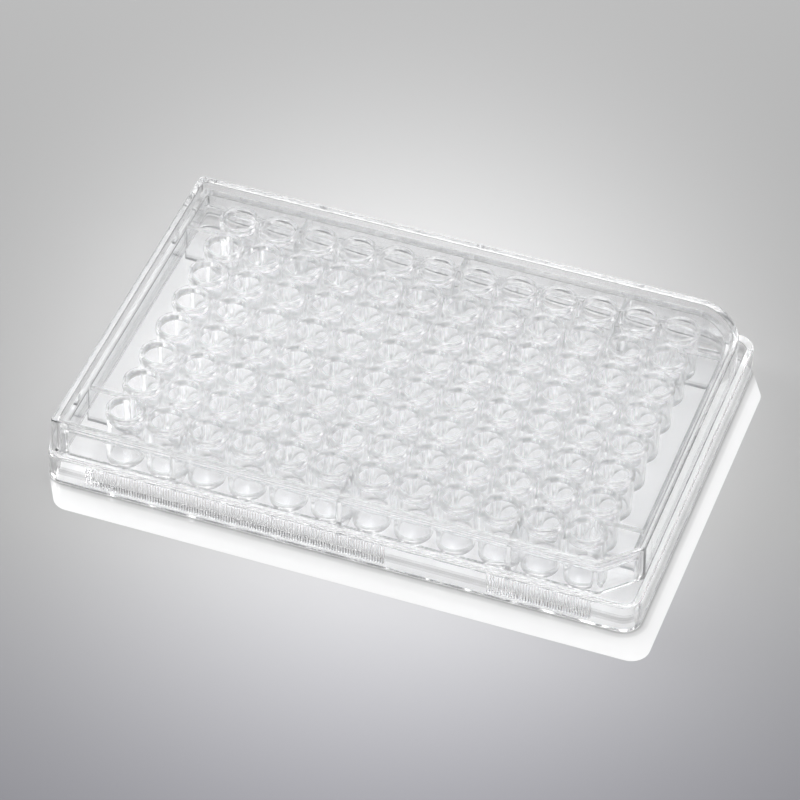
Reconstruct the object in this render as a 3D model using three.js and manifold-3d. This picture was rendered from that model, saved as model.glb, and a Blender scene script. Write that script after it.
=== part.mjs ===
// A clear 96-well microplate with its loose lid, in millimetres and +Z up.
// The origin is at the centre of the footprint, on the surface that the plate stands on.
// +X runs along the columns 1 to 12, and +Y points from row H to row A.

import * as THREE from 'three';
import { mergeVertices } from 'three/addons/utils/BufferGeometryUtils.js';
import Module from 'manifold-3d';

// Well array
const COLUMNS = 12;
const ROWS = 8;
const PITCH = 9;
const END_MARGIN = 14.38; // from the centre of an outer column to the end of the footprint
const SIDE_MARGIN = 11.24; // from the centre of an outer row to the side of the footprint

// Wells
const BORE_TOP_RADIUS = 3.45;
const BORE_TAPER = 0.22; // how much narrower a bore is at its floor
const WELL_WALL = 0.75;
const WELL_DEPTH = 10.8;
const WELL_FLOOR = 1.2;
const RIM_RISE = 1.05; // how far each rim stands above the deck

// Plate
const RIM_HEIGHT = 14.35; // from the surface to the rims, the height of the bare plate
const DECK_THICKNESS = 1.2;
const BODY_WALL = 1.2;
const FLANGE_HEIGHT = 7;
const FLANGE_CORNER_RADIUS = 4;
const FLANGE_DRAFT = 0.15; // how far the flange leans in from its foot to its ledge
const SKIRT_WALL = 1.4;
const LEDGE_THICKNESS = 1.2;

// Under-deck ribs, between the walls and the outer wells
const RIB_THICKNESS = 1.2;
const RIB_DEPTH = 9;
const RIBS_AFTER_COLUMNS = [2, 6, 10];
const RIBS_AFTER_ROWS = [1, 7];

// Finger grips, shallow recesses along both long sides of the flange
const GRIP_HEIGHT = 4.75;
const GRIP_FOOT = 1.4;
const GRIP_DEPTH = 0.35;
const GRIP_END_MARGIN = 9.4; // from the end of the footprint to the nearer grip
const LONG_GRIP = 65.4; // at the column 1 end
const SHORT_GRIP = 22; // at the column 12 end

// Lid
const LID_INSET = 1.3; // from the footprint to the lower edge of the lid
const LID_DRAFT = 0.25; // how far the lid and the body lean in from foot to top
const LID_WALL = 1.2;
const LID_THICKNESS = 1;
const LID_PLAY = 0.3; // between the lid and the body of the plate, all round
const LID_HEADROOM = 0.35; // between the rims and the underside of the lid
const LID_SEAT_GAP = 0.3; // between the ledge and the lower edge of the lid
const LID_EDGE_BEVEL = 0.4;
const NOTCH = 7.4; // the two corners cut off at the column 12 end
const ROUND_NOTCH_RADIUS = 11; // the cut corner by row A, nearly a full round
const SHARP_NOTCH_RADIUS = 2; // the two ends of the cut by row H
const SQUARE_RADIUS = 1;

// Facets
const ARC_STEPS = 3;
const RIM_SIDES = 10;
const TUBE_SIDES = 8; // the tubes below the deck are coarser than the rims and the bores

// Worked out from the sizes above
const HALF_LENGTH = ((COLUMNS - 1) * PITCH) / 2 + END_MARGIN;
const HALF_WIDTH = ((ROWS - 1) * PITCH) / 2 + SIDE_MARGIN;
const DECK_TOP = RIM_HEIGHT - RIM_RISE;
const DECK_UNDERSIDE = DECK_TOP - DECK_THICKNESS;
const FLOOR_TOP = RIM_HEIGHT - WELL_DEPTH;
const TUBE_FOOT = FLOOR_TOP - WELL_FLOOR;
const TUBE_RADIUS = BORE_TOP_RADIUS + WELL_WALL;
const BODY_INSET = LID_INSET + LID_WALL + LID_PLAY;
const LID_FOOT = FLANGE_HEIGHT + LID_SEAT_GAP;
const LID_CEILING = RIM_HEIGHT + LID_HEADROOM;
const LID_TOP = LID_CEILING + LID_THICKNESS;
const OVERRUN = 1; // how far a cutting tool runs past the face it opens

const wasm = await Module();
wasm.setup();

// A closed three.js geometry as a manifold solid.
function solid(geometry) {
  geometry.deleteAttribute('normal');
  geometry.deleteAttribute('uv');
  const merged = mergeVertices(geometry);
  return new wasm.Manifold(new wasm.Mesh({
    numProp: 3,
    vertProperties: merged.attributes.position.array,
    triVerts: new Uint32Array(merged.index.array),
  }));
}

function union(solids) {
  return solids.reduce((joined, next) => joined.add(next));
}

function meshOf(name, shape, material) {
  const mesh = shape.getMesh();
  const geometry = new THREE.BufferGeometry();
  geometry.setAttribute('position', new THREE.BufferAttribute(mesh.vertProperties, 3));
  geometry.setIndex(new THREE.BufferAttribute(mesh.triVerts, 1));
  geometry.computeVertexNormals();
  const part = new THREE.Mesh(geometry, material);
  part.name = name;
  return part;
}

// A convex outline, counter-clockwise, with each corner rounded by its own radius.
function roundedOutline(corners) {
  const points = [];
  corners.forEach((corner, i) => {
    const here = new THREE.Vector2(corner.x, corner.y);
    const before = corners[(i + corners.length - 1) % corners.length];
    const after = corners[(i + 1) % corners.length];
    const arriving = here.clone().sub(new THREE.Vector2(before.x, before.y)).normalize();
    const leaving = new THREE.Vector2(after.x, after.y).sub(here).normalize();
    const turn = Math.acos(arriving.dot(leaving));
    const setback = corner.radius * Math.tan(turn / 2);
    const centre = here.clone().addScaledVector(arriving, -setback);
    centre.add(new THREE.Vector2(-arriving.y, arriving.x).multiplyScalar(corner.radius));
    const start = Math.atan2(-arriving.x, arriving.y);
    for (let step = 0; step <= ARC_STEPS; step += 1) {
      const angle = start + (turn * step) / ARC_STEPS;
      const spoke = new THREE.Vector2(Math.cos(angle), Math.sin(angle));
      points.push(centre.clone().addScaledVector(spoke, corner.radius));
    }
  });
  return points;
}

// The flange, set in from the footprint: a rectangle with four round corners.
function flangeOutline(inset) {
  const x = HALF_LENGTH - inset;
  const y = HALF_WIDTH - inset;
  const radius = Math.max(FLANGE_CORNER_RADIUS - inset, SQUARE_RADIUS);
  return roundedOutline([
    { x: -x, y: -y, radius },
    { x, y: -y, radius },
    { x, y, radius },
    { x: -x, y, radius },
  ]);
}

// The body and the lid, set in from the footprint: both corners at the column 12 end are cut off.
function notchedOutline(inset) {
  const x = HALF_LENGTH - inset;
  const y = HALF_WIDTH - inset;
  const notch = NOTCH - (inset - LID_INSET) * (2 - Math.SQRT2);
  const fullRound = (notch * Math.SQRT1_2) / Math.tan(Math.PI / 8);
  const round = Math.min(ROUND_NOTCH_RADIUS - (inset - LID_INSET), fullRound);
  return roundedOutline([
    { x: -x, y: -y, radius: SQUARE_RADIUS },
    { x: x - notch, y: -y, radius: SHARP_NOTCH_RADIUS },
    { x, y: -y + notch, radius: SHARP_NOTCH_RADIUS },
    { x, y: y - notch, radius: round },
    { x: x - notch, y, radius: round },
    { x: -x, y, radius: SQUARE_RADIUS },
  ]);
}

// A solid through outlines of equal point counts, each at its own height, from the lowest up.
function loft(sections) {
  const count = sections[0].outline.length;
  const positions = sections.flatMap(({ outline, z }) => outline.flatMap((p) => [p.x, p.y, z]));
  const index = [];
  for (let level = 0; level < sections.length - 1; level += 1) {
    for (let i = 0; i < count; i += 1) {
      const a = level * count + i;
      const b = level * count + ((i + 1) % count);
      index.push(a, b, b + count, a, b + count, a + count);
    }
  }
  const top = (sections.length - 1) * count;
  for (let i = 1; i < count - 1; i += 1) {
    index.push(0, i + 1, i);
    index.push(top, top + i, top + i + 1);
  }
  const geometry = new THREE.BufferGeometry();
  geometry.setAttribute('position', new THREE.Float32BufferAttribute(positions, 3));
  geometry.setIndex(index);
  return solid(geometry);
}

// How far the body and the lid have leaned in at a height, from the ledge to the lid's top.
function leanAt(z) {
  return (LID_DRAFT * (z - FLANGE_HEIGHT)) / (LID_TOP - FLANGE_HEIGHT);
}

function notchedSection(inset, z) {
  return { outline: notchedOutline(inset + leanAt(z)), z };
}

// A box between two opposite corners.
function block(from, to) {
  const size = new THREE.Vector3().subVectors(to, from);
  const centre = new THREE.Vector3().addVectors(from, to).multiplyScalar(0.5);
  const geometry = new THREE.BoxGeometry(size.x, size.y, size.z);
  geometry.translate(centre.x, centre.y, centre.z);
  return solid(geometry);
}

// An upright round post or tapered bore, between two heights.
function upright(centre, bottomRadius, topRadius, bottom, top, sides) {
  const geometry = new THREE.CylinderGeometry(topRadius, bottomRadius, top - bottom, sides);
  geometry.rotateX(Math.PI / 2);
  geometry.translate(centre.x, centre.y, (top + bottom) / 2);
  return solid(geometry);
}

function wellCentres() {
  const centres = [];
  for (let row = 0; row < ROWS; row += 1) {
    for (let column = 0; column < COLUMNS; column += 1) {
      const x = (column - (COLUMNS - 1) / 2) * PITCH;
      const y = ((ROWS - 1) / 2 - row) * PITCH;
      centres.push(new THREE.Vector2(x, y));
    }
  }
  return centres;
}

// The flange and the body above it, as one thin shell that is open below.
function shell() {
  const flange = loft([
    { outline: flangeOutline(0), z: 0 },
    { outline: flangeOutline(FLANGE_DRAFT), z: FLANGE_HEIGHT },
  ]);
  const body = loft([
    notchedSection(BODY_INSET, FLANGE_HEIGHT - LEDGE_THICKNESS),
    notchedSection(BODY_INSET, DECK_TOP),
  ]);
  const flangeHollow = loft([
    { outline: flangeOutline(SKIRT_WALL), z: -OVERRUN },
    { outline: flangeOutline(SKIRT_WALL + FLANGE_DRAFT), z: FLANGE_HEIGHT - LEDGE_THICKNESS },
  ]);
  const bodyHollow = loft([
    notchedSection(BODY_INSET + BODY_WALL, FLANGE_HEIGHT - LEDGE_THICKNESS - OVERRUN),
    notchedSection(BODY_INSET + BODY_WALL, DECK_UNDERSIDE),
  ]);
  return flange.add(body).subtract(flangeHollow).subtract(bodyHollow);
}

// A tube below the deck and a rim above it, for one well.
function wellTube(centre) {
  const middle = (DECK_TOP + DECK_UNDERSIDE) / 2;
  const footRadius = TUBE_RADIUS - BORE_TAPER;
  const tube = upright(centre, footRadius, TUBE_RADIUS, TUBE_FOOT, middle, TUBE_SIDES);
  const rim = upright(centre, TUBE_RADIUS, TUBE_RADIUS, middle, RIM_HEIGHT, RIM_SIDES);
  return tube.add(rim);
}

function wellBore(centre) {
  const floorRadius = BORE_TOP_RADIUS - BORE_TAPER;
  const overrunRadius = BORE_TOP_RADIUS + (BORE_TAPER * OVERRUN) / WELL_DEPTH;
  return upright(centre, floorRadius, overrunRadius, FLOOR_TOP, RIM_HEIGHT + OVERRUN, RIM_SIDES);
}

// The webs that tie the walls to the outer wells, hung from the deck. Each ends between two tubes.
function ribs() {
  const half = RIB_THICKNESS / 2;
  const reachX = HALF_LENGTH - BODY_INSET - BODY_WALL / 2 - LID_DRAFT;
  const reachY = HALF_WIDTH - BODY_INSET - BODY_WALL / 2 - LID_DRAFT;
  const innerX = ((COLUMNS - 1) / 2) * PITCH - half;
  const innerY = ((ROWS - 1) / 2) * PITCH - half;
  const top = (DECK_TOP + DECK_UNDERSIDE) / 2;
  const foot = DECK_UNDERSIDE - RIB_DEPTH;
  const webs = [];
  for (const side of [-1, 1]) {
    for (const column of RIBS_AFTER_COLUMNS) {
      const x = (column - COLUMNS / 2) * PITCH;
      const [near, far] = [side * innerY, side * reachY].sort((a, b) => a - b);
      webs.push(block(new THREE.Vector3(x - half, near, foot), new THREE.Vector3(x + half, far, top)));
    }
    for (const row of RIBS_AFTER_ROWS) {
      const y = (ROWS / 2 - row) * PITCH;
      const [near, far] = [side * innerX, side * reachX].sort((a, b) => a - b);
      webs.push(block(new THREE.Vector3(near, y - half, foot), new THREE.Vector3(far, y + half, top)));
    }
  }
  return union(webs);
}

// The recesses of the finger grips, as tools to cut from the flange.
function gripCuts() {
  const grips = [
    { start: -HALF_LENGTH + GRIP_END_MARGIN, length: LONG_GRIP },
    { start: HALF_LENGTH - GRIP_END_MARGIN - SHORT_GRIP, length: SHORT_GRIP },
  ];
  const cuts = [];
  for (const side of [-1, 1]) {
    for (const { start, length } of grips) {
      const floor = side * (HALF_WIDTH - FLANGE_DRAFT - GRIP_DEPTH);
      const [near, far] = [floor, side * (HALF_WIDTH + OVERRUN)].sort((a, b) => a - b);
      const from = new THREE.Vector3(start, near, GRIP_FOOT);
      const to = new THREE.Vector3(start + length, far, GRIP_FOOT + GRIP_HEIGHT);
      cuts.push(block(from, to));
    }
  }
  return union(cuts);
}

function wellPlate() {
  const centres = wellCentres();
  return shell()
    .add(union(centres.map(wellTube)))
    .add(ribs())
    .subtract(gripCuts())
    .subtract(union(centres.map(wellBore)));
}

// The lid: a shallow cap with a skirt that drops over the body and stops above the ledge.
function lid() {
  const outside = loft([
    notchedSection(LID_INSET, LID_FOOT),
    notchedSection(LID_INSET, LID_TOP - LID_EDGE_BEVEL),
    notchedSection(LID_INSET + LID_EDGE_BEVEL, LID_TOP),
  ]);
  const inside = loft([
    notchedSection(LID_INSET + LID_WALL, LID_FOOT - OVERRUN),
    notchedSection(LID_INSET + LID_WALL, LID_CEILING),
  ]);
  return outside.subtract(inside);
}

const platePlastic = new THREE.MeshStandardMaterial({
  color: 0xe9eef2,
  roughness: 0.08,
  metalness: 0,
});
const lidPlastic = new THREE.MeshStandardMaterial({
  color: 0xf2f5f8,
  roughness: 0.05,
  metalness: 0,
});

const microplate = new THREE.Group();
microplate.add(meshOf('well_plate', wellPlate(), platePlastic));
microplate.add(meshOf('lid', lid(), lidPlastic));

export default microplate;
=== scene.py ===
"""The look of a clear 96-well microplate under its loose clear lid, on a pale glossy table.

Sizes are in millimetres and turned into metres where a mesh is made. The frame is the CAD part's:
the origin is at the centre of the footprint on the table, +X runs from column 1 to column 12, +Y
points from row H to row A, and +Z is up.
"""

import math
from functools import partial

import bpy
from mathutils import Matrix, Vector


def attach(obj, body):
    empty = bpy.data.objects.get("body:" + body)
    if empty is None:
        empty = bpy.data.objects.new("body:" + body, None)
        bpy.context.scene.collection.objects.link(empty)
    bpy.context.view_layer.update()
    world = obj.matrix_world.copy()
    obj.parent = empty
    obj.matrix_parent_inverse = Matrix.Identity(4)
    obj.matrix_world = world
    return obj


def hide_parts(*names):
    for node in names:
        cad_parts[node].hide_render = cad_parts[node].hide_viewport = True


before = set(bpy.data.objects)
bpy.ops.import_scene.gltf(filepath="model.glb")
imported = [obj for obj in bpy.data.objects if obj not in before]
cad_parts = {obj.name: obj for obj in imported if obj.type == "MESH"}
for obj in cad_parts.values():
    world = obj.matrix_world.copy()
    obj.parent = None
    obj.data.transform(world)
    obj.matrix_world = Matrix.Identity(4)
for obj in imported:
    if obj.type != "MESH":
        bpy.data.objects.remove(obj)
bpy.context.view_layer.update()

MM = 0.001

# Well array
COLUMNS, ROWS, PITCH = 12, 8, 9.0
END_MARGIN, SIDE_MARGIN = 14.38, 11.24

# Wells
BORE_TOP_RADIUS, BORE_TAPER = 3.45, 0.22
WELL_WALL, WELL_DEPTH, WELL_FLOOR, RIM_RISE = 0.75, 10.8, 1.2, 1.05

# Plate
RIM_HEIGHT, DECK_THICKNESS, BODY_WALL = 14.35, 1.2, 1.2
FLANGE_HEIGHT, FLANGE_CORNER_RADIUS, FLANGE_DRAFT = 7.0, 4.0, 0.15
SKIRT_WALL, LEDGE_THICKNESS = 1.4, 1.2

# Under-deck ribs
RIB_THICKNESS, RIB_DEPTH = 1.2, 9.0
RIBS_AFTER_COLUMNS, RIBS_AFTER_ROWS = (2, 6, 10), (1, 7)

# Finger grips and their knurling
GRIP_HEIGHT, GRIP_FOOT, GRIP_END_MARGIN = 4.75, 1.4, 9.4
LONG_GRIP, SHORT_GRIP = 65.4, 22.0
KNURL_PITCH = 0.575
KNURL_SETBACK = 0.02  # from the flange's face in to the ridges
KNURL_DEPTH = 0.28  # from the ridges in to the floor of the grooves

# Lid
LID_INSET, LID_DRAFT, LID_WALL, LID_THICKNESS, LID_PLAY = 1.3, 0.25, 1.2, 1.0, 0.3
LID_HEADROOM, LID_SEAT_GAP = 0.35, 0.3
NOTCH, SQUARE_RADIUS = 7.4, 1.0
ROUND_NOTCH_RADIUS, SHARP_NOTCH_RADIUS = 11.0, 2.0

# Moulded edge radii
LID_EDGE, LID_INNER_EDGE, FOOT_EDGE, FLANGE_EDGE, BODY_EDGE = 0.5, 0.3, 0.2, 0.4, 0.4
RIM_EDGE, LIP_EDGE, TUBE_FILLET, FLOOR_FILLET, RIB_EDGE = 0.3, 0.06, 0.15, 0.4, 0.15
FILLET_MIDDLE = (0.4, 0.3)  # out from the tube and off the deck, as shares of TUBE_FILLET
FILLET_SINK, TUBE_NECK = 0.05, 0.01  # into the deck, and in from the tube's side

# Mesh fineness
ARC_STEPS, EDGE_STEPS, FILLET_STEPS, KNURL_STEPS = 8, 4, 3, 6
WELL_SIDES = 40
SMOOTH_ANGLE = math.radians(40)

# Worked out from the sizes above
HALF_LENGTH = (COLUMNS - 1) * PITCH / 2 + END_MARGIN
HALF_WIDTH = (ROWS - 1) * PITCH / 2 + SIDE_MARGIN
DECK_TOP = RIM_HEIGHT - RIM_RISE
DECK_UNDERSIDE = DECK_TOP - DECK_THICKNESS
FLOOR_TOP = RIM_HEIGHT - WELL_DEPTH
TUBE_FOOT = FLOOR_TOP - WELL_FLOOR
TUBE_RADIUS = BORE_TOP_RADIUS + WELL_WALL
BODY_INSET = LID_INSET + LID_WALL + LID_PLAY
LID_FOOT = FLANGE_HEIGHT + LID_SEAT_GAP
LID_CEILING = RIM_HEIGHT + LID_HEADROOM
LID_TOP = LID_CEILING + LID_THICKNESS
OVERRUN = 1.0  # how far a cutting tool passes what it cuts

# Clear plastic
PLASTIC_IOR = 1.59
PLATE_COLOUR, PLATE_ROUGHNESS = (0.996, 0.998, 1.0), 0.03
LID_COLOUR, LID_ROUGHNESS = (0.997, 0.998, 1.0), 0.02
ROUGHNESS_SPREAD = (0.6, 1.6)  # the least and the most, as shares of the roughness
HAZE_SCALE, HAZE_DETAIL = 60, 3
WAVE_SCALE, WAVE_DETAIL, WAVE_STRENGTH, WAVE_HEIGHT = 140, 1, 0.08, 0.2

# Thick places of the plate look grey: painted shade, a grey painted into the plate's colour there
PAINTED_SHADE_GREY = 0.65
RIB_FOOT_SHADE = 0.5  # how far the painted shade at the end ribs' foot goes towards that grey
RIB_REACH = 0.6  # either side of a rib's middle, as a share of its thickness
FOOT_REACH, FLAT_REACH = 0.05, 0.02  # off a tube's or rib's foot, and off a well floor's flat

# Light and shade painted into the table's colour, as shares of white: a glow round the plate and a
# grey ground
GLOW_TURN = math.radians(19.1)  # of the painted glow and of the table's painted shade, from +X to +Y
GLOW_CENTRE, GLOW_REACH, GLOW_RISE = (-1.1, -1.9), (70.7, 90.7), 0.593
GROUND_REACH, GROUND_PAINTED_SHADES = (-140.0, 160.0), (0.219, 0.46)  # the table's painted shade, from the front to the back
COOL_REACH, COOL_TINT = (-120.0, -30.0), (0.965, 0.96, 1.05)
TABLE_REACH = 900.0
TABLE_SHOWN = 0.6  # share of the table's colour that shows at full strength, outside the plate
SHOWN_EDGE = (-2.0, -0.5)  # from the footprint out: where that share starts, and where it is whole

# Painted reflection: the flange's white glare painted on the polished table, round the plate's
# front and right side, with a faint real mirror on it
GLARE_REACH = (3.9, -6.9)  # how far it is cast past the footprint
GLARE_CORNER, GLARE_MIRROR, GLARE_ROUGHNESS = 4.0, 0.1, 0.03
TABLE_LEVEL, GLARE_LEVEL = -0.03, -0.015
UNDER_WELLS, UNDER_EDGE = 0.98, 0.92  # the table's white under the wells, and by the flange, where it is darker as painted shade
UNDER_MARGIN = (-11.0, -7.0)  # from the footprint out: where the first ends and the second starts
GLARE_FADE = 4.0  # from the flange's foot out to full brightness, across the painted contact shadow
# The glare's brightness at shares of GLARE_FADE: a painted contact shadow, dark at the flange's
# foot, fading into the painted white glare
GLARE_STEPS = (
    (0.0, 0.38), (0.08, 0.5), (0.15, 0.68), (0.3, 0.78), (0.42, 0.94), (0.6, 0.98), (1.0, 1.0),
)

# Lamps, aimed at the origin: name, place and size in metres, watts
LAMPS = (
    ("softbox_above", (0.1, 0.15, 0.9), (1.0, 0.8), 7.4),
    ("softbox_left", (-0.8, 0.2, 0.5), (0.5, 0.5), 4.4),
)
WORLD_COLOUR, WORLD_STRENGTH = (0.97, 0.98, 1.0), 0.3
CLEAR_BOUNCES, DIFFUSE_BOUNCES = 64, 4

# Camera, from the lens and the place that the photograph was taken with
CAMERA_AZIMUTH, CAMERA_ELEVATION, CAMERA_ROLL = 19.2348, 43.2977, 0.9358
CAMERA_DISTANCE, CAMERA_ASIDE = 878.654, (-1.1644, 4.0718)
CAMERA_LENS, CAMERA_SENSOR, CAMERA_FAR = 189.162, 36, 20


# ---------------------------------------------------------------- mesh tools

def new_object(name, points, faces):
    """An object from points in millimetres."""
    mesh = bpy.data.meshes.new(name)
    mesh.from_pydata([(x * MM, y * MM, z * MM) for x, y, z in points], [], faces)
    mesh.validate()
    obj = bpy.data.objects.new(name, mesh)
    bpy.context.scene.collection.objects.link(obj)
    return obj


def combine(obj, tool, operation):
    """Joins or cuts obj with tool, and removes the tool."""
    modifier = obj.modifiers.new("join", "BOOLEAN")
    modifier.operation = operation
    modifier.solver = "MANIFOLD"
    modifier.object = tool
    made = bpy.data.meshes.new_from_object(
        obj.evaluated_get(bpy.context.evaluated_depsgraph_get())
    )
    obj.modifiers.clear()
    old, obj.data = obj.data, made
    bpy.data.meshes.remove(old)
    bpy.data.objects.remove(tool)
    return obj


def rounded_outline(corners):
    """A convex outline, counter-clockwise, from (x, y, radius) corners."""
    points = []
    for i, (x, y, radius) in enumerate(corners):
        here = Vector((x, y))
        arriving = (here - Vector(corners[i - 1][:2])).normalized()
        leaving = (Vector(corners[(i + 1) % len(corners)][:2]) - here).normalized()
        turn = math.acos(max(-1.0, min(1.0, arriving.dot(leaving))))
        centre = here - arriving * (radius * math.tan(turn / 2))
        centre += Vector((-arriving.y, arriving.x)) * radius
        start = math.atan2(-arriving.x, arriving.y)
        for step in range(ARC_STEPS + 1):
            angle = start + turn * step / ARC_STEPS
            points.append(centre + radius * Vector((math.cos(angle), math.sin(angle))))
    return points


def flange_outline(inset):
    """The flange, set in from the footprint: a rectangle with four round corners."""
    x, y = HALF_LENGTH - inset, HALF_WIDTH - inset
    radius = max(FLANGE_CORNER_RADIUS - inset, SQUARE_RADIUS)
    return rounded_outline([(-x, -y, radius), (x, -y, radius), (x, y, radius), (-x, y, radius)])


def notched_outline(inset):
    """The body and the lid, set in from the footprint: both corners by column 12 are cut off."""
    x, y = HALF_LENGTH - inset, HALF_WIDTH - inset
    notch = NOTCH - (inset - LID_INSET) * (2 - math.sqrt(2))
    full_round = notch * math.sqrt(0.5) / math.tan(math.pi / 8)
    sharp = SHARP_NOTCH_RADIUS
    rounded = min(ROUND_NOTCH_RADIUS - (inset - LID_INSET), full_round)
    return rounded_outline([
        (-x, -y, SQUARE_RADIUS),
        (x - notch, -y, sharp),
        (x, -y + notch, sharp),
        (x, y - notch, rounded),
        (x - notch, y, rounded),
        (-x, y, SQUARE_RADIUS),
    ])


def lean_at(z):
    """How far the body and the lid have leaned in at a height."""
    return LID_DRAFT * (z - FLANGE_HEIGHT) / (LID_TOP - FLANGE_HEIGHT)


def edge_arc(inset, z, radius, rising):
    """(inset, z) steps round a convex moulded edge that ends, rising, or starts at a flat face."""
    steps = []
    for step in range(EDGE_STEPS + 1):
        angle = math.pi / 2 * step / EDGE_STEPS
        less_cos, less_sin = radius * (1 - math.cos(angle)), radius * (1 - math.sin(angle))
        if rising:
            steps.append((inset + less_cos, z - less_sin))
        else:
            steps.append((inset + less_sin, z + less_cos))
    return steps


def loft(name, rings):
    """A solid through outlines of equal point counts: rings is a list of (outline, z)."""
    count = len(rings[0][0])
    points = [(p.x, p.y, z) for outline, z in rings for p in outline]
    faces = []
    for level in range(len(rings) - 1):
        for i in range(count):
            a, b = level * count + i, level * count + (i + 1) % count
            faces.append((a, b, b + count, a + count))
    top = (len(rings) - 1) * count
    faces.append(tuple(reversed(range(count))))
    faces.append(tuple(range(top, top + count)))
    return new_object(name, points, faces)


def revolve(name, profile, centres):
    """One round solid about each centre. The profile of (radius, z) starts and ends on the axis."""
    points, faces = [], []
    inner = profile[1:-1]
    for x, y in centres:
        base = len(points)
        points.append((x, y, profile[0][1]))
        for radius, z in inner:
            for side in range(WELL_SIDES):
                angle = 2 * math.pi * side / WELL_SIDES
                points.append((x + radius * math.cos(angle), y + radius * math.sin(angle), z))
        points.append((x, y, profile[-1][1]))
        last = len(points) - 1
        for side in range(WELL_SIDES):
            after = (side + 1) % WELL_SIDES
            faces.append((base, base + 1 + after, base + 1 + side))
            for level in range(len(inner) - 1):
                a = base + 1 + level * WELL_SIDES
                b = a + WELL_SIDES
                faces.append((a + side, a + after, b + after, b + side))
            a = base + 1 + (len(inner) - 1) * WELL_SIDES
            faces.append((last, a + side, a + after))
    return new_object(name, points, faces)


def arc_points(radius_at, z_at, radius, start, end):
    """(radius, z) points round a small arc in a profile, between two angles in degrees."""
    points = []
    for step in range(FILLET_STEPS + 1):
        angle = math.radians(start + (end - start) * step / FILLET_STEPS)
        points.append((radius_at + radius * math.cos(angle), z_at + radius * math.sin(angle)))
    return points


def finish_mesh(obj):
    """Smooth shading that keeps flat faces flat and moulded edges soft."""
    obj.data.shade_smooth()
    obj.data.set_sharp_from_angle(angle=SMOOTH_ANGLE)
    weighted = obj.modifiers.new("flat faces stay flat", "WEIGHTED_NORMAL")
    weighted.mode = "FACE_AREA"
    weighted.keep_sharp = True
    return obj


# ---------------------------------------------------------------- plate

def well_centres():
    """The 96 places of the well grid, row by row from A1."""
    return [
        ((column - (COLUMNS - 1) / 2) * PITCH, ((ROWS - 1) / 2 - row) * PITCH)
        for row in range(ROWS)
        for column in range(COLUMNS)
    ]


def shell():
    """The flange and the body above it, as one thin moulding that is open below."""
    flange_rings = edge_arc(0, 0, FOOT_EDGE, False)
    flange_rings += edge_arc(FLANGE_DRAFT, FLANGE_HEIGHT, FLANGE_EDGE, True)
    plate = loft("plate_shell", [(flange_outline(inset), z) for inset, z in flange_rings])

    ledge_underside = FLANGE_HEIGHT - LEDGE_THICKNESS
    body_rings = [(BODY_INSET, ledge_underside)]
    body_rings += edge_arc(BODY_INSET + lean_at(DECK_TOP), DECK_TOP, BODY_EDGE, True)
    body = loft("body", [(notched_outline(inset), z) for inset, z in body_rings])
    combine(plate, body, "UNION")

    hollow_rings = [(SKIRT_WALL, -OVERRUN)]
    hollow_rings += edge_arc(SKIRT_WALL + FLANGE_DRAFT, ledge_underside, FLANGE_EDGE, True)
    hollow = loft("flange_hollow", [(flange_outline(inset), z) for inset, z in hollow_rings])
    combine(plate, hollow, "DIFFERENCE")

    inner = BODY_INSET + BODY_WALL
    hollow_rings = [(inner, ledge_underside - OVERRUN)]
    hollow_rings += edge_arc(inner + lean_at(DECK_UNDERSIDE), DECK_UNDERSIDE, BODY_EDGE, True)
    hollow = loft("body_hollow", [(notched_outline(inset), z) for inset, z in hollow_rings])
    return combine(plate, hollow, "DIFFERENCE")


def well_tubes():
    """A tube below the deck and a raised rim above it, for every well."""
    foot = TUBE_RADIUS - BORE_TAPER
    profile = [(0, TUBE_FOOT)]
    profile += arc_points(foot - FLOOR_FILLET, TUBE_FOOT + FLOOR_FILLET, FLOOR_FILLET, -90, 0)
    out, off = TUBE_FILLET * FILLET_MIDDLE[0], TUBE_FILLET * FILLET_MIDDLE[1]
    profile += [
        (TUBE_RADIUS - TUBE_NECK, DECK_UNDERSIDE - TUBE_FILLET),
        (TUBE_RADIUS + out, DECK_UNDERSIDE - off),
        (TUBE_RADIUS + TUBE_FILLET, DECK_UNDERSIDE + FILLET_SINK),
        (TUBE_RADIUS + TUBE_FILLET, DECK_TOP - FILLET_SINK),
        (TUBE_RADIUS + out, DECK_TOP + off),
        (TUBE_RADIUS, DECK_TOP + TUBE_FILLET),
    ]
    profile += arc_points(TUBE_RADIUS - RIM_EDGE, RIM_HEIGHT - RIM_EDGE, RIM_EDGE, 0, 90)
    profile += [(0, RIM_HEIGHT)]
    return revolve("tubes", profile, well_centres())


def well_bores():
    """The tapered bores, as tools to cut from the plate."""
    floor = BORE_TOP_RADIUS - BORE_TAPER
    profile = [(0, FLOOR_TOP)]
    profile += arc_points(floor - FLOOR_FILLET, FLOOR_TOP + FLOOR_FILLET, FLOOR_FILLET, -90, 0)
    lip = BORE_TOP_RADIUS + LIP_EDGE
    profile += arc_points(lip, RIM_HEIGHT - LIP_EDGE, LIP_EDGE, 180, 90)
    profile += [(lip, RIM_HEIGHT + OVERRUN), (0, RIM_HEIGHT + OVERRUN)]
    return revolve("bores", profile, well_centres())


def rib(low, high, foot, top):
    """A thin upright web with slightly round edges."""
    corners = [(low[0], low[1]), (high[0], low[1]), (high[0], high[1]), (low[0], high[1])]
    outline = rounded_outline([(x, y, RIB_EDGE) for x, y in corners])
    return loft("rib", [(outline, foot), (outline, top)])


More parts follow.
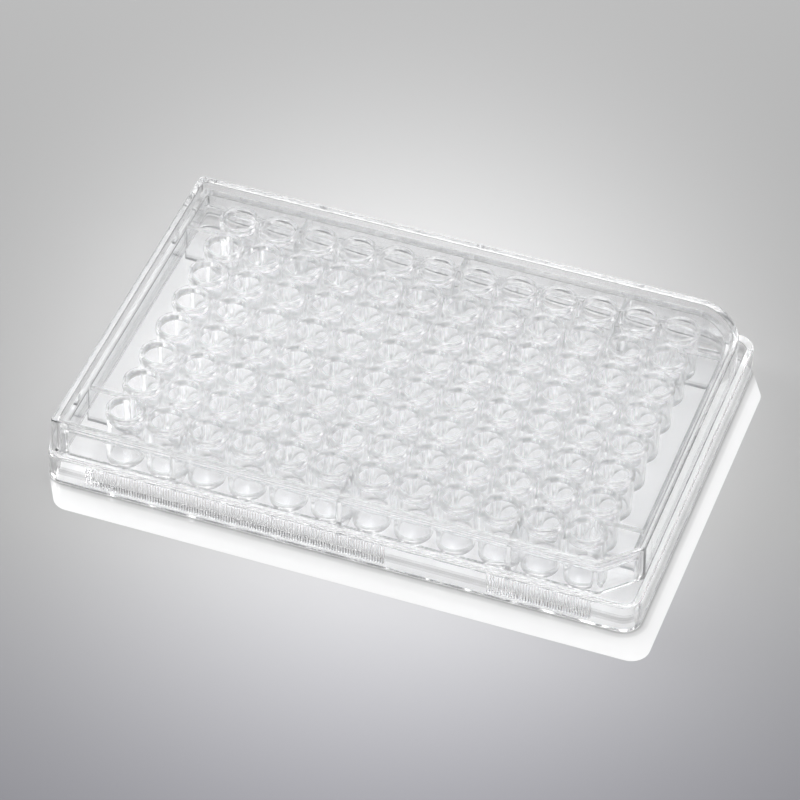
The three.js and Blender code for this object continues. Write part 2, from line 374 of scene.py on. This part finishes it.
def add_ribs(plate):
    """The webs that tie the walls to the outer wells, hung from the deck."""
    half = RIB_THICKNESS / 2
    reach_x = HALF_LENGTH - BODY_INSET - BODY_WALL / 2 - LID_DRAFT
    reach_y = HALF_WIDTH - BODY_INSET - BODY_WALL / 2 - LID_DRAFT
    inner_x = (COLUMNS - 1) / 2 * PITCH - half
    inner_y = (ROWS - 1) / 2 * PITCH - half
    top, foot = (DECK_TOP + DECK_UNDERSIDE) / 2, DECK_UNDERSIDE - RIB_DEPTH
    for side in (-1, 1):
        for column in RIBS_AFTER_COLUMNS:
            x = (column - COLUMNS / 2) * PITCH
            near, far = sorted((side * inner_y, side * reach_y))
            combine(plate, rib((x - half, near), (x + half, far), foot, top), "UNION")
        for row in RIBS_AFTER_ROWS:
            y = (ROWS / 2 - row) * PITCH
            near, far = sorted((side * inner_x, side * reach_x))
            combine(plate, rib((near, y - half), (far, y + half), foot, top), "UNION")


def knurl_outline(side, start, length, z):
    """One grip's grooves at a height, with ridges just under the flange's face."""
    face = HALF_WIDTH - FLANGE_DRAFT * z / FLANGE_HEIGHT - KNURL_SETBACK
    floor = face - KNURL_DEPTH
    steps = round(length / KNURL_PITCH) * KNURL_STEPS
    outline = []
    for step in range(steps + 1):
        swing = (1 + math.cos(2 * math.pi * step / KNURL_STEPS)) / 2
        outline.append((start + length * step / steps, floor + (face - floor) * swing))
    outline += [(start + length, HALF_WIDTH + OVERRUN), (start, HALF_WIDTH + OVERRUN)]
    outline = [Vector((x, side * y)) for x, y in outline]
    return outline if side > 0 else outline[::-1]


def cut_knurling(plate):
    """Cuts the fine upright grooves of the finger grips into both long sides of the flange."""
    grips = (
        (-HALF_LENGTH + GRIP_END_MARGIN, LONG_GRIP),
        (HALF_LENGTH - GRIP_END_MARGIN - SHORT_GRIP, SHORT_GRIP),
    )
    top = GRIP_FOOT + GRIP_HEIGHT
    for side in (-1, 1):
        for start, length in grips:
            rings = [(knurl_outline(side, start, length, z), z) for z in (GRIP_FOOT, top)]
            combine(plate, loft("knurl", rings), "DIFFERENCE")


def well_plate():
    """The whole plate. The bores come last, so that they also cut through tubes and deck."""
    plate = shell()
    combine(plate, well_tubes(), "UNION")
    add_ribs(plate)
    cut_knurling(plate)
    combine(plate, well_bores(), "DIFFERENCE")
    plate.name = plate.data.name = "clear_plate"
    return finish_mesh(plate)


# ---------------------------------------------------------------- lid

def lid():
    """A shallow cap with thin walls, as one closed skin from the top's outside to its inside."""
    rings = edge_arc(LID_INSET + LID_DRAFT, LID_TOP, LID_EDGE, True)[::-1]
    rings += edge_arc(LID_INSET, LID_FOOT, FOOT_EDGE, False)[::-1]
    inner = LID_INSET + LID_WALL
    rings += [(inner - FOOT_EDGE, LID_FOOT), (inner, LID_FOOT + FOOT_EDGE)]
    rings += edge_arc(inner + lean_at(LID_CEILING), LID_CEILING, LID_INNER_EDGE, True)
    rings = [(notched_outline(inset), z) for inset, z in rings]
    return finish_mesh(loft("clear_lid", rings[::-1]))


# ---------------------------------------------------------------- materials

def shader_nodes(name):
    """A new material with no nodes yet, its nodes and its links."""
    material = bpy.data.materials.new(name)
    material.use_nodes = True
    nodes = material.node_tree.nodes
    nodes.clear()
    return material, nodes, material.node_tree.links


def value_node(nodes, links, operation, *inputs):
    """A Math node fed by numbers or sockets, and its output."""
    node = nodes.new("ShaderNodeMath")
    node.operation = operation
    for socket, value in zip(node.inputs, inputs):
        if isinstance(value, (int, float)):
            socket.default_value = value
        else:
            links.new(value, socket)
    return node.outputs[0]


def mixed_colour(nodes, links, share, first, second):
    """A colour Mix node's output. The share is a socket, and each colour is a socket or a tuple."""
    mix = nodes.new("ShaderNodeMix")
    mix.data_type = "RGBA"
    links.new(share, mix.inputs[0])
    for socket, colour in ((mix.inputs[6], first), (mix.inputs[7], second)):
        if isinstance(colour, tuple):
            socket.default_value = (*colour, 1)
        else:
            links.new(colour, socket)
    return mix.outputs[2]


def range_node(nodes, links, value, before, after):
    """A Map Range node that takes the range before, low and high, to the range after."""
    node = nodes.new("ShaderNodeMapRange")
    for name, end in zip(("From Min", "From Max", "To Min", "To Max"), (*before, *after)):
        node.inputs[name].default_value = end
    links.new(value, node.inputs["Value"])
    return node


def painted_shade_places(nodes, links, place):
    """How much painted shade greys the plate's colour: most on the well floors' sides, less under
    the end ribs.
    """
    split = nodes.new("ShaderNodeSeparateXYZ")
    links.new(place, split.inputs[0])
    math_node = partial(value_node, nodes, links)
    low, high = TUBE_FOOT + FOOT_REACH, FLOOR_TOP + FLOOR_FILLET
    middle, reach = (low + high) / 2, (high - low) / 2
    floors = math_node("COMPARE", split.outputs["Z"], middle * MM, reach * MM)
    flat = math_node("COMPARE", split.outputs["Z"], FLOOR_TOP * MM, FLAT_REACH * MM)
    floors = math_node("MULTIPLY", floors, math_node("SUBTRACT", 1, flat))
    middle, reach = (ROWS / 2 - RIBS_AFTER_ROWS[0]) * PITCH, RIB_THICKNESS * RIB_REACH
    across = math_node("ABSOLUTE", split.outputs["Y"])
    ribs = math_node("COMPARE", across, middle * MM, reach * MM)
    outer_wells = (COLUMNS - 1) / 2 * PITCH + TUBE_RADIUS
    along = math_node("ABSOLUTE", split.outputs["X"])
    ends = math_node("GREATER_THAN", along, outer_wells * MM)
    foot = (DECK_UNDERSIDE - RIB_DEPTH) * MM
    feet = math_node("COMPARE", split.outputs["Z"], foot, FOOT_REACH * MM)
    feet = math_node("MULTIPLY", math_node("MULTIPLY", ends, feet), RIB_FOOT_SHADE)
    return math_node("MAXIMUM", floors, math_node("MULTIPLY", ribs, feet))


def clear_plastic(name, colour, roughness, painted_shade_nodes=None):
    """Clear moulded polystyrene, with faint flow waves and patches of finer and coarser polish.

    The last argument is a function that makes the nodes for how far each place goes towards the
    grey of the painted shade.
    """
    material, nodes, links = shader_nodes(name)
    output = nodes.new("ShaderNodeOutputMaterial")
    plastic = nodes.new("ShaderNodeBsdfPrincipled")
    plastic.inputs["Base Color"].default_value = (*colour, 1)
    plastic.inputs["IOR"].default_value = PLASTIC_IOR
    plastic.inputs["Transmission Weight"].default_value = 1
    place = nodes.new("ShaderNodeTexCoord").outputs["Object"]
    if painted_shade_nodes:
        grey = (PAINTED_SHADE_GREY, PAINTED_SHADE_GREY, PAINTED_SHADE_GREY)
        tint = mixed_colour(nodes, links, painted_shade_nodes(nodes, links, place), colour, grey)
        links.new(tint, plastic.inputs["Base Color"])
    haze = nodes.new("ShaderNodeTexNoise")
    haze.inputs["Scale"].default_value = HAZE_SCALE
    haze.inputs["Detail"].default_value = HAZE_DETAIL
    links.new(place, haze.inputs["Vector"])
    polish = [roughness * share for share in ROUGHNESS_SPREAD]
    spread = range_node(nodes, links, haze.outputs["Fac"], (0, 1), polish)
    links.new(spread.outputs["Result"], plastic.inputs["Roughness"])
    waves = nodes.new("ShaderNodeTexNoise")
    waves.inputs["Scale"].default_value = WAVE_SCALE
    waves.inputs["Detail"].default_value = WAVE_DETAIL
    links.new(place, waves.inputs["Vector"])
    bump = nodes.new("ShaderNodeBump")
    bump.inputs["Strength"].default_value = WAVE_STRENGTH
    bump.inputs["Distance"].default_value = WAVE_HEIGHT * MM
    links.new(waves.outputs["Fac"], bump.inputs["Height"])
    links.new(bump.outputs["Normal"], plastic.inputs["Normal"])
    links.new(plastic.outputs[0], output.inputs["Surface"])
    return material


def painted_table_light(nodes, links):
    """The table's colour, with light and shade painted in: a soft glow round the plate, on a grey
    that darkens to the front.
    """
    place = nodes.new("ShaderNodeTexCoord")
    turned = nodes.new("ShaderNodeVectorRotate")
    turned.rotation_type = "Z_AXIS"
    turned.inputs["Angle"].default_value = -GLOW_TURN
    links.new(place.outputs["Object"], turned.inputs["Vector"])
    split = nodes.new("ShaderNodeSeparateXYZ")
    links.new(turned.outputs[0], split.inputs[0])
    math_node = partial(value_node, nodes, links)
    squares = []
    for axis, centre, reach in zip("XY", GLOW_CENTRE, GLOW_REACH):
        away = math_node("SUBTRACT", split.outputs[axis], centre * MM)
        squares.append(math_node("POWER", math_node("DIVIDE", away, reach * MM), 2))
    fall = math_node("EXPONENT", math_node("MULTIPLY", math_node("ADD", *squares), -1))
    front, back = GROUND_REACH
    ground = range_node(nodes, links, split.outputs["Y"], (front * MM, back * MM), GROUND_PAINTED_SHADES)
    bright = math_node("ADD", math_node("MULTIPLY", fall, GLOW_RISE), ground.outputs["Result"])
    front, back = COOL_REACH
    cool = range_node(nodes, links, split.outputs["Y"], (front * MM, back * MM), (1, 0))
    colour = nodes.new("ShaderNodeVectorMath")
    colour.operation = "SCALE"
    tint = mixed_colour(nodes, links, cool.outputs["Result"], (1, 1, 1), COOL_TINT)
    links.new(tint, colour.inputs[0])
    links.new(bright, colour.inputs["Scale"])
    return colour.outputs[0]


def off_the_flange(nodes, links):
    """How far out from the flange's foot a point of the table is, in metres: below 0 inside it."""
    place = nodes.new("ShaderNodeTexCoord")
    split = nodes.new("ShaderNodeSeparateXYZ")
    links.new(place.outputs["Object"], split.inputs[0])
    math_node = partial(value_node, nodes, links)
    overs = []
    for axis, span in zip("XY", (HALF_LENGTH, HALF_WIDTH)):
        side = math_node("ABSOLUTE", split.outputs[axis])
        overs.append(math_node("SUBTRACT", side, (span - FLANGE_CORNER_RADIUS) * MM))
    squares = [math_node("POWER", math_node("MAXIMUM", over, 0), 2) for over in overs]
    inside = math_node("MINIMUM", math_node("MAXIMUM", *overs), 0)
    away = math_node("ADD", math_node("SQRT", math_node("ADD", *squares)), inside)
    return math_node("SUBTRACT", away, FLANGE_CORNER_RADIUS * MM)


def shown_surface(nodes, links, colour, mirror_share):
    """A surface of the stage, whose colour is partly shown at full strength and partly lit.

    That holds outside the plate, for rays that show it. Under the plate, and for the rays that
    carry its light elsewhere, it is only lit.
    """
    math_node = partial(value_node, nodes, links)
    lit = nodes.new("ShaderNodeBsdfDiffuse")
    links.new(colour, lit.inputs["Color"])
    shown = nodes.new("ShaderNodeEmission")
    links.new(colour, shown.inputs["Color"])
    edge = [out * MM for out in SHOWN_EDGE]
    share = range_node(nodes, links, off_the_flange(nodes, links), edge, (0, TABLE_SHOWN))
    share.interpolation_type = "SMOOTHSTEP"
    part = nodes.new("ShaderNodeMixShader")
    links.new(share.outputs["Result"], part.inputs[0])
    links.new(lit.outputs[0], part.inputs[1])
    links.new(shown.outputs[0], part.inputs[2])
    mirror = nodes.new("ShaderNodeBsdfGlossy")
    mirror.inputs["Roughness"].default_value = GLARE_ROUGHNESS
    gloss = nodes.new("ShaderNodeMixShader")
    gloss.inputs[0].default_value = mirror_share
    links.new(part.outputs[0], gloss.inputs[1])
    links.new(mirror.outputs[0], gloss.inputs[2])
    path = nodes.new("ShaderNodeLightPath").outputs
    seen = math_node("MAXIMUM", path["Is Camera Ray"], path["Is Transmission Ray"])
    seen = math_node("MAXIMUM", seen, path["Is Glossy Ray"])
    mix = nodes.new("ShaderNodeMixShader")
    links.new(seen, mix.inputs[0])
    links.new(lit.outputs[0], mix.inputs[1])
    links.new(gloss.outputs[0], mix.inputs[2])
    output = nodes.new("ShaderNodeOutputMaterial")
    links.new(mix.outputs[0], output.inputs["Surface"])


def table_material():
    """The pale table, with its painted glow and shade."""
    material, nodes, links = shader_nodes("table")
    shown_surface(nodes, links, painted_table_light(nodes, links), 0)
    return material


def glare_material():
    """The flange's painted white glare, with a painted contact shadow at the flange's foot, and the
    white table under the plate, with painted shade by the flange.
    """
    material, nodes, links = shader_nodes("glare")
    steps = nodes.new("ShaderNodeValToRGB")
    elements = steps.color_ramp.elements
    elements.remove(elements[1])
    elements[0].position = GLARE_STEPS[0][0]
    for place, _ in GLARE_STEPS[1:]:
        elements.new(place)
    for element, (_, bright) in zip(elements, GLARE_STEPS):
        element.color = (bright, bright, bright, 1)
    distance = off_the_flange(nodes, links)
    math_node = partial(value_node, nodes, links)
    links.new(math_node("DIVIDE", distance, GLARE_FADE * MM), steps.inputs["Fac"])
    margin = [out * MM for out in UNDER_MARGIN]
    under = range_node(nodes, links, distance, margin, (UNDER_WELLS, UNDER_EDGE))
    inside = math_node("LESS_THAN", distance, 0)
    colour = mixed_colour(nodes, links, inside, steps.outputs["Color"], under.outputs["Result"])
    shown_surface(nodes, links, colour, GLARE_MIRROR)
    return material


# ---------------------------------------------------------------- scene

def stage_sheet(name, outline, level, material):
    """A flat sheet of the stage, from the (x, y) points of its outline."""
    sheet = new_object(name, [(x, y, 0) for x, y in outline], [tuple(range(len(outline)))])
    sheet.location.z = level * MM
    sheet.data.materials.append(material)


def table():
    """The table top, wide enough to fill every view."""
    far = TABLE_REACH
    corners = [(-far, -far), (far, -far), (far, far), (-far, far)]
    stage_sheet("table_top", corners, TABLE_LEVEL, table_material())


def glare_outline():
    """The footprint swept along the glare's reach: a rectangle with two of its corners cut off."""
    (across, along), radius = GLARE_REACH, GLARE_CORNER
    length = math.hypot(across, along)
    nx, ny = along / length, -across / length
    reach = abs(nx) * (HALF_LENGTH - radius) + abs(ny) * (HALF_WIDTH - radius) + radius
    left, low = -HALF_LENGTH, -HALF_WIDTH + along
    right = HALF_LENGTH + across
    cut_up = (reach - nx * left) / ny
    cut_in = (reach - ny * low) / nx
    middle = Vector((across, along))
    half = [(left, cut_up), (cut_in, low), (right, low)]
    corners = half + [(middle.x - x, middle.y - y) for x, y in half]
    return rounded_outline([(x, y, radius) for x, y in corners])


def glare():
    """A sheet a hair above the table, under the plate and out past its front and right side, that
    carries the painted glare and shade.
    """
    stage_sheet("glare", glare_outline(), GLARE_LEVEL, glare_material())


def area_lamp(name, place, size, watts):
    """A square or oblong lamp that points at the origin."""
    light = bpy.data.lights.new(name, "AREA")
    light.shape = "RECTANGLE"
    light.size, light.size_y = size
    light.energy = watts
    lamp = bpy.data.objects.new(name, light)
    bpy.context.scene.collection.objects.link(lamp)
    lamp.location = place
    lamp.rotation_mode = "QUATERNION"
    lamp.rotation_quaternion = (-Vector(place)).to_track_quat("-Z", "Y")


def studio():
    """A faint even sky and the lamps."""
    world = bpy.data.worlds.new("studio")
    bpy.context.scene.world = world
    world.use_nodes = True
    background = world.node_tree.nodes["Background"]
    background.inputs["Color"].default_value = (*WORLD_COLOUR, 1)
    background.inputs["Strength"].default_value = WORLD_STRENGTH
    for lamp in LAMPS:
        area_lamp(*lamp)


def camera():
    """The photograph's camera, in front of the plate, to its right and above it."""
    azimuth, elevation = math.radians(CAMERA_AZIMUTH), math.radians(CAMERA_ELEVATION)
    back = Vector((
        math.sin(azimuth) * math.cos(elevation),
        -math.cos(azimuth) * math.cos(elevation),
        math.sin(elevation),
    ))
    right = Vector((0, 0, 1)).cross(back).normalized()
    up = back.cross(right)
    roll = math.radians(CAMERA_ROLL)
    cosine, sine = math.cos(roll), math.sin(roll)
    right, up = cosine * right + sine * up, cosine * up - sine * right
    place = CAMERA_ASIDE[0] * right + CAMERA_ASIDE[1] * up + CAMERA_DISTANCE * back
    data = bpy.data.cameras.new("camera")
    data.lens = CAMERA_LENS
    data.sensor_width = CAMERA_SENSOR
    data.clip_end = CAMERA_FAR
    obj = bpy.data.objects.new("camera", data)
    bpy.context.scene.collection.objects.link(obj)
    turn = Matrix((right, up, back)).transposed().to_4x4()
    obj.matrix_world = Matrix.Translation(place * MM) @ turn
    bpy.context.scene.camera = obj


def long_light_paths(scene):
    """Light crosses many clear walls here, runs round inside them, and gathers on the table.

    The blur of indirect gloss would lose part of that light, and with two lamps the light tree
    only costs time.
    """
    scene.cycles.max_bounces = CLEAR_BOUNCES
    scene.cycles.transmission_bounces = CLEAR_BOUNCES
    scene.cycles.glossy_bounces = CLEAR_BOUNCES
    scene.cycles.diffuse_bounces = DIFFUSE_BOUNCES
    scene.cycles.blur_glossy = 0
    scene.cycles.use_light_tree = False


def main():
    scene = bpy.context.scene
    scene.view_settings.view_transform = "Standard"
    long_light_paths(scene)
    plate, cover = well_plate(), lid()
    clear_plate = clear_plastic("plate_polystyrene", PLATE_COLOUR, PLATE_ROUGHNESS, painted_shade_places)
    clear_lid = clear_plastic("lid_polystyrene", LID_COLOUR, LID_ROUGHNESS)
    for piece, node, slot, material in (
        (plate, "well_plate", "plate_plastic", clear_plate),
        (cover, "lid", "lid_plastic", clear_lid),
    ):
        piece.data.materials.clear()
        piece.data.materials.append(material)
        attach(piece, "root")
        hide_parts(node)
    table()
    glare()
    studio()
    camera()


main()
